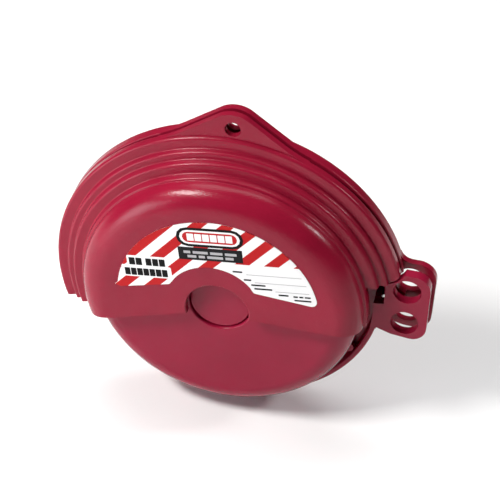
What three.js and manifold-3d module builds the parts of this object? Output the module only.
// Handwheel lockout: two half shells that turn in one another and close round a gate valve's wheel.
//
// Frame, in millimetres: Y is the turning axis with the front at -Y, +Z points to the hanging eye
// and +X to the padlock tabs. The origin is on the axis, level with the gap between the two flanges.
// Profiles are written as [radius, height], height being measured forward from the rear flange's back.

import * as THREE from 'three';
import { mergeVertices } from 'three/addons/utils/BufferGeometryUtils.js';
import Module from 'manifold-3d';

const wasm = await Module();
wasm.setup();

// ---- driving dimensions ----

const SEGMENTS = 80; // facets round a full turn
const MID_HEIGHT = 4.35; // height of the origin above the rear flange's back

const REAR_FLANGE_R = 52.2;
const REAR_FLANGE_TOP = 3.7;
const REAR_TAB_TOP = 2.1;
const EYE_PLATE_BOTTOM = 1.5;

const FRONT_FLANGE_R = 52.2;
const FRONT_FLANGE_BOTTOM = 5;
const FRONT_FLANGE_TOP = 8;
const EYE_PLATE_TOP = 7; // the eye's front plate lies a little lower than the flange
const CHANNEL_R = 46; // the rim of the inner half runs inside this
const DOME_R = 42.6;
const FACE_R = 34.5;
const FACE_TOP = 20.4;
const FACE_WALL = 2.5;

const INNER_DOME_R = 40.2;
const INNER_FACE_TOP = 17;
const INNER_WALL = 2.2;
const RIM_R = 45.3;
const RIM_WALL = 1.8;
const RIM_TOP = 4.6;
const WEB_BOTTOM = -0.8;
const WEB_TOP = 1.4;

const OUTER_BACK = -9.6;
const INNER_BACK = -6.6;
const STEM_R = 10; // notch in both backs for the valve stem

const HUB_R = 9.3;
const HUB_RING_R = 15;
const DISC_R = 9;
const DISC_TOP = 16.3;
const DISC_BOTTOM = 14.3;

const OUTER_EDGE_ANGLE = 197.5; // left edge of the outer half's cover
const OUTER_EDGE_DROP = -1.3; // its right edge lies this far below the axis
const RIM_STOP = 11.5; // the stepped rim stops this far above the axis on the right
const INNER_EDGE_ANGLE = 189;
const INNER_EDGE_RISE = 3.2;

const EYE = { z: 55.2, radius: 2.3, crown: 7.8, tip: 60, shoulder: 55, flare: 45 };
const PADLOCK_HOLES = [[52.8, 9.2], [52.9, -2.5]];
const PADLOCK_R = 4.1;

const LABEL = { centre: [0.2, 2.4], tilt: 7.5, outerR: 29.9, innerR: 13.9, innerShift: -1.2 };

const OUTER_SCREWS = [32, 64, 116, 148, 186]; // degrees round the flange
const OUTER_SCREW_R = 48.8;
const INNER_SCREWS = [207, 248, 290, 332];
const INNER_SCREW_R = 41.85;

// ---- materials ----

const plastic = (colour, roughness) => new THREE.MeshStandardMaterial({
  color: colour,
  roughness,
  metalness: 0,
});
const RED = plastic(0x9c1f38, 0.34);
const RED_INNER = plastic(0xa02240, 0.3);
const PRINTED = plastic(0xf2f0ee, 0.5);
const STEEL = new THREE.MeshStandardMaterial({ color: 0xa8abae, roughness: 0.35, metalness: 1 });

// ---- helpers ----

const rad = THREE.MathUtils.degToRad;
const toY = (height) => MID_HEIGHT - height;
const polar = (radius, angle) => [radius * Math.cos(rad(angle)), radius * Math.sin(rad(angle))];

// A closed three.js geometry as a solid, its faces turned outward.
function solid(geometry) {
  geometry.deleteAttribute('normal');
  geometry.deleteAttribute('uv');
  const merged = mergeVertices(geometry, 1e-4);
  const points = merged.attributes.position;
  const index = merged.index;
  const triangles = [];
  let volume = 0;
  const corner = [new THREE.Vector3(), new THREE.Vector3(), new THREE.Vector3()];
  for (let i = 0; i < index.count; i += 3) {
    const [a, b, c] = [index.getX(i), index.getX(i + 1), index.getX(i + 2)];
    if (a === b || b === c || a === c) continue;
    triangles.push(a, b, c);
    [a, b, c].forEach((vertex, k) => corner[k].fromBufferAttribute(points, vertex));
    volume += corner[0].dot(corner[1].clone().cross(corner[2]));
  }
  if (volume < 0) {
    for (let i = 0; i < triangles.length; i += 3) {
      [triangles[i + 1], triangles[i + 2]] = [triangles[i + 2], triangles[i + 1]];
    }
  }
  const mesh = new wasm.Mesh({
    numProp: 3,
    vertProperties: new Float32Array(points.array),
    triVerts: new Uint32Array(triangles),
  });
  return new wasm.Manifold(mesh);
}

// A profile of [radius, height] pairs turned about the axis.
function turned(profile) {
  const points = profile.map(([radius, height]) => new THREE.Vector2(radius, toY(height)));
  const open = profile[0][0] === 0 && profile[profile.length - 1][0] === 0;
  if (!open) points.push(points[0].clone());
  return solid(new THREE.LatheGeometry(points, SEGMENTS));
}

// A flat outline of [x, z] pairs given thickness between two heights.
function plate(outline, bottom, top) {
  const shape = new THREE.Shape(outline.map(([x, z]) => new THREE.Vector2(x, z)));
  const geometry = new THREE.ExtrudeGeometry(shape, { depth: top - bottom, bevelEnabled: false });
  geometry.rotateX(Math.PI / 2);
  geometry.translate(0, toY(bottom), 0);
  return solid(geometry);
}

// A round bar along the axis direction, centred at [x, z].
function bar([x, z], radius, bottom, top, sides = 24) {
  const geometry = new THREE.CylinderGeometry(radius, radius, top - bottom, sides);
  geometry.translate(x, toY((bottom + top) / 2), z);
  return solid(geometry);
}

// Points of an arc, from one angle to another.
function arc([x, z], radius, from, to, steps) {
  const points = [];
  for (let i = 0; i <= steps; i += 1) {
    const [dx, dz] = polar(radius, from + ((to - from) * i) / steps);
    points.push([x + dx, z + dz]);
  }
  return points;
}

// A shoulder from a side wall round to a flat face, as part of a profile.
function shoulder(wallR, faceR, wallTop, faceTop, steps = 6) {
  const points = [];
  for (let i = 0; i <= steps; i += 1) {
    const turn = (Math.PI / 2) * (i / steps);
    const radius = faceR + (wallR - faceR) * Math.cos(turn);
    points.push([radius, wallTop + (faceTop - wallTop) * Math.sin(turn)]);
  }
  return points;
}

function piece(name, manifold, material) {
  const source = manifold.getMesh();
  const geometry = new THREE.BufferGeometry();
  const positions = new THREE.BufferAttribute(new Float32Array(source.vertProperties), 3);
  geometry.setAttribute('position', positions);
  geometry.setIndex(new THREE.BufferAttribute(new Uint32Array(source.triVerts), 1));
  const flat = geometry.toNonIndexed();
  flat.computeVertexNormals();
  const mesh = new THREE.Mesh(flat, material);
  mesh.name = name;
  return mesh;
}

// ---- outlines shared by several pieces ----

const FAR = 90;
const edgeSlope = Math.tan(rad(OUTER_EDGE_ANGLE - 180));
const outerCut = [
  [OUTER_EDGE_DROP / edgeSlope, OUTER_EDGE_DROP],
  [-FAR, -FAR * edgeSlope],
  [-FAR, -FAR],
  [FAR, -FAR],
  [FAR, OUTER_EDGE_DROP],
];
const innerSlope = Math.tan(rad(INNER_EDGE_ANGLE - 180));
const innerCut = [
  [0, INNER_EDGE_RISE],
  [FAR, INNER_EDGE_RISE],
  [FAR, FAR],
  [-FAR, FAR],
  [-FAR, INNER_EDGE_RISE - FAR * innerSlope],
];

// The hanging eye: a round crown, two straight shoulders and a wide flare into the flange's edge.
function eyeOutline(flangeR) {
  const crownZ = EYE.tip - EYE.crown;
  const [nx, nz] = polar(1, EYE.shoulder); // square to the straight shoulder
  const out = crownZ * nz + EYE.crown + EYE.flare;
  const along = Math.sqrt((flangeR + EYE.flare) ** 2 - out ** 2);
  const centre = [out * nx - along * nz, out * nz + along * nx];
  const onFlange = 180 + THREE.MathUtils.radToDeg(Math.atan2(centre[1], centre[0]));
  const flare = arc(centre, EYE.flare, onFlange, 180 + EYE.shoulder, 5);
  const right = [[flare[0][0], 44], ...flare];
  const left = right.map(([x, z]) => [-x, z]).reverse();
  return [...right, ...arc([0, crownZ], EYE.crown, EYE.shoulder, 180 - EYE.shoulder, 8), ...left];
}

const lowerSide = (bottom, top) => plate(outerCut, bottom, top);
const upperSide = (bottom, top) => plate(innerCut, bottom, top);

// ---- outer half: front shell ----

function outerFrontShell() {
  const outside = [
    [CHANNEL_R, FRONT_FLANGE_BOTTOM],
    [FRONT_FLANGE_R - 0.5, FRONT_FLANGE_BOTTOM],
    [FRONT_FLANGE_R, FRONT_FLANGE_BOTTOM + 0.5],
    [FRONT_FLANGE_R, FRONT_FLANGE_TOP - 0.9],
    [FRONT_FLANGE_R - 0.9, FRONT_FLANGE_TOP],
    [48.9, FRONT_FLANGE_TOP],
    [48.6, 8.4],
    [48.5, 9.1],
    [47.8, 9.8],
    [46.6, 9.8],
    [46.2, 10.2],
    [46.1, 11.2],
    [45.4, 11.9],
    [43.4, 11.9],
    [42.9, 12.4],
    [DOME_R, 13.6],
    [DOME_R - 0.3, 13.9],
    ...shoulder(DOME_R - 0.7, FACE_R, 14.1, FACE_TOP),
    [0, FACE_TOP],
  ];
  const inside = [
    [0, FACE_TOP - FACE_WALL],
    ...shoulder(40.8, 33.6, 11.6, FACE_TOP - FACE_WALL).reverse(),
    [40.8, 10.2],
    [44.2, 10.2],
    [44.4, 8.2],
    [CHANNEL_R, 8],
  ];
  let shell = turned([...outside, ...inside]);
  shell = shell.add(plate(eyeOutline(FRONT_FLANGE_R), FRONT_FLANGE_BOTTOM, EYE_PLATE_TOP));
  shell = shell.subtract(bar([0, 0], CHANNEL_R, 0, 8, SEGMENTS));
  shell = shell.subtract(lowerSide(0, 30));
  const rimStop = plate([
    [30, RIM_STOP],
    [46.8, RIM_STOP],
    [49, 12.6],
    [50.6, 14.6],
    [51.2, 17],
    [FAR, 17],
    [FAR, -10],
    [30, -10],
  ], 0, 30);
  shell = shell.subtract(rimStop.subtract(bar([0, 0], DOME_R + 0.25, -1, 31, SEGMENTS)));
  shell = shell.subtract(bar([0, 0], HUB_R, 10, 30, 48));
  shell = shell.subtract(bar([0, EYE.z], EYE.radius, 0, 20));
  for (const angle of OUTER_SCREWS) {
    const centre = polar(OUTER_SCREW_R, angle);
    shell = shell.add(bar(centre, 2.2, REAR_FLANGE_TOP + 0.3, FRONT_FLANGE_BOTTOM + 0.4, 16));
    shell = shell.subtract(bar(centre, 1.25, 0, 7, 16));
  }
  return shell;
}

// ---- outer half: rear shell with the rear padlock tab ----

function outerRearShell() {
  let shell = turned([
    [0, OUTER_BACK],
    [38.6, OUTER_BACK],
    [40.6, -8.9],
    [41.4, -7.2],
    [41.4, -3.6],
    [47.6, -3.6],
    [48.4, -2.8],
    [48.4, 0],
    [REAR_FLANGE_R - 0.6, 0],
    [REAR_FLANGE_R, 0.6],
    [REAR_FLANGE_R, REAR_FLANGE_TOP - 0.6],
    [REAR_FLANGE_R - 0.6, REAR_FLANGE_TOP],
    [CHANNEL_R, REAR_FLANGE_TOP],
    [CHANNEL_R, -1.4],
    [39.2, -1.4],
    [39.2, -6.2],
    [38.2, -7.2],
    [0, -7.2],
  ]);
  const eyePlate = plate(eyeOutline(REAR_FLANGE_R), EYE_PLATE_BOTTOM, REAR_FLANGE_TOP);
  shell = shell.add(eyePlate.subtract(bar([0, 0], CHANNEL_R + 1, -1, 9, SEGMENTS)));
  shell = shell.subtract(lowerSide(-12, 6));
  const tab = plate([
    [44, -6.6],
    [52, -8.4],
    ...arc([55, -3.6], 5, -90, 0, 5),
    ...arc([54.6, 9.6], 5.6, 0, 90, 6),
    ...arc([52.8, 19.2], 4, 270, 200, 5),
    [44, 17.8],
  ], 0, REAR_TAB_TOP);
  shell = shell.add(tab.subtract(bar([0, 0], CHANNEL_R + 0.4, -1, 9, SEGMENTS)));
  shell = shell.subtract(bar([0, 0], STEM_R, -12, 0, 32));
  shell = shell.subtract(bar([0, EYE.z], EYE.radius, -2, 9));
  for (const centre of PADLOCK_HOLES) {
    shell = shell.subtract(bar(centre, PADLOCK_R, -2, 9, 28));
  }
  for (const angle of OUTER_SCREWS) {
    const centre = polar(OUTER_SCREW_R, angle);
    shell = shell.subtract(bar(centre, 1.5, -8, 9, 16));
    shell = shell.subtract(bar(centre, 2.9, -8, 1, 20));
  }
  return shell;
}

// ---- inner half: front shell ----

function innerFrontShell() {
  let shell = turned([
    [INNER_DOME_R - INNER_WALL, WEB_TOP + 0.3],
    [INNER_DOME_R, WEB_TOP + 0.3],
    ...shoulder(INNER_DOME_R, 33, 10.4, INNER_FACE_TOP),
    [0, INNER_FACE_TOP],
    [0, INNER_FACE_TOP - INNER_WALL],
    ...shoulder(INNER_DOME_R - INNER_WALL, 31.6, 9, INNER_FACE_TOP - INNER_WALL).reverse(),
  ]);
  shell = shell.subtract(upperSide(0, 30));
  shell = shell.add(bar([0, 0], HUB_RING_R, INNER_FACE_TOP - INNER_WALL, INNER_FACE_TOP, 48));
  shell = shell.add(bar([0, 0], HUB_R + 1.8, DISC_BOTTOM - 1.6, INNER_FACE_TOP - 0.5, 48));
  shell = shell.subtract(bar([0, 0], HUB_R, DISC_BOTTOM - 0.3, 30, 48));
  shell = shell.subtract(bar([0, 0], HUB_R - 1.3, 0, 30, 48));
  for (const angle of INNER_SCREWS) {
    const ear = plate([
      [INNER_DOME_R - 1, -1.6],
      [42, -1.6],
      ...arc([INNER_SCREW_R, 0], 1.35, -60, 60, 5),
      [42, 1.6],
      [INNER_DOME_R - 1, 1.6],
    ].map(([x, z]) => {
      const [ux, uz] = polar(1, angle);
      return [x * ux - z * uz, x * uz + z * ux];
    }), WEB_TOP + 0.3, 4.2);
    shell = shell.add(ear);
    shell = shell.subtract(bar(polar(INNER_SCREW_R, angle), 0.85, 0, 3.6, 12));
  }
  return shell;
}

// ---- inner half: rear shell with the rim and the front padlock tab ----

function innerRearShell() {
  let shell = turned([
    [0, INNER_BACK],
    [37.2, INNER_BACK],
    [38.4, -5.4],
    [38.4, WEB_BOTTOM],
    [RIM_R - 0.5, WEB_BOTTOM],
    [RIM_R, WEB_BOTTOM + 0.5],
    [RIM_R, RIM_TOP - 0.4],
    [RIM_R - 0.4, RIM_TOP],
    [RIM_R - RIM_WALL + 0.3, RIM_TOP],
    [RIM_R - RIM_WALL, RIM_TOP - 0.3],
    [RIM_R - RIM_WALL, WEB_TOP],
    [36.4, WEB_TOP],
    [36.4, INNER_BACK + INNER_WALL],
    [0, INNER_BACK + INNER_WALL],
  ]);
  shell = shell.subtract(upperSide(-12, 9));
  const riser = plate([
    ...arc([0, 0], RIM_R - RIM_WALL, -8.5, 4, 4),
    ...arc([0, 0], RIM_R, 4, -8.5, 4),
  ], WEB_BOTTOM + 0.4, FRONT_FLANGE_TOP);
  const tab = plate([
    [44.6, -6],
    [49.3, -7.6],
    ...arc([55, -3.8], 4.4, -100, 0, 6),
    ...arc([54.4, 10.2], 5, 0, 95, 6),
    [51.7, 15.2],
    [51, 13.9],
    [49.5, 12.2],
    [47.2, 11.1],
    [46.4, 11.1],
    [46.4, 3.4],
    [44.6, 3.1],
  ], FRONT_FLANGE_BOTTOM, FRONT_FLANGE_TOP);
  shell = shell.add(riser).add(tab);
  shell = shell.subtract(bar([0, 0], STEM_R, -12, 0, 32));
  for (const centre of PADLOCK_HOLES) {
    shell = shell.subtract(bar(centre, PADLOCK_R, 3, 9, 28));
  }
  for (const angle of INNER_SCREWS) {
    const centre = polar(INNER_SCREW_R, angle);
    shell = shell.subtract(bar(centre, 1.15, -3, 3, 12));
    shell = shell.subtract(bar(centre, 2, -3, 0, 16));
  }
  return shell;
}

// ---- small pieces ----

function hubDisc() {
  const disc = bar([0, 0], DISC_R, DISC_BOTTOM, DISC_TOP, 48);
  const grip = plate([[-4, -0.6], [4, -0.6], [4, 0.6], [-4, 0.6]], DISC_BOTTOM - 2.2, DISC_BOTTOM + 0.5);
  return disc.add(grip);
}

function warningLabel() {
  const [cos, sin] = polar(1, LABEL.tilt);
  const outline = [
    ...arc([0, 0], LABEL.outerR, 4, 172, 24),
    [-28.6, 4.5],
    [-13.6, 6.7],
    ...arc([LABEL.innerShift, 0], LABEL.innerR, 143, 33, 12),
    [11.3, 5.7],
    [28.6, 2.2],
  ].map(([u, v]) => [LABEL.centre[0] + u * cos - v * sin, LABEL.centre[1] + u * sin + v * cos]);
  return plate(outline, FACE_TOP + 0.2, FACE_TOP + 0.45);
}

function screw(centre, headBottom, headTop, tip, headR, shankR) {
  const head = bar(centre, headR, headBottom, headTop, 20);
  const shank = bar(centre, shankR, headTop - 0.2, tip, 12);
  const across = plate([
    [centre[0] - headR * 0.7, centre[1] - 0.3],
    [centre[0] + headR * 0.7, centre[1] - 0.3],
    [centre[0] + headR * 0.7, centre[1] + 0.3],
    [centre[0] - headR * 0.7, centre[1] + 0.3],
  ], headBottom - 1, headBottom + 0.4);
  return head.add(shank).subtract(across);
}

// ---- assembly ----

const group = new THREE.Group();
group.name = 'handwheel_lockout';
group.add(
  piece('outer_rear_shell', outerRearShell(), RED),
  piece('outer_front_shell', outerFrontShell(), RED),
  piece('inner_rear_shell', innerRearShell(), RED_INNER),
  piece('inner_front_shell', innerFrontShell(), RED_INNER),
  piece('hub_disc', hubDisc(), RED_INNER),
  piece('warning_label', warningLabel(), PRINTED),
);
OUTER_SCREWS.forEach((angle, i) => {
  const centre = polar(OUTER_SCREW_R, angle);
  group.add(piece(`outer_screw_${i + 1}`, screw(centre, -0.8, 0.7, 6.7, 2.6, 0.95), STEEL));
});
INNER_SCREWS.forEach((angle, i) => {
  const centre = polar(INNER_SCREW_R, angle);
  group.add(piece(`inner_screw_${i + 1}`, screw(centre, -0.9, -0.3, 3.3, 1.7, 0.55), STEEL));
});

export default group;
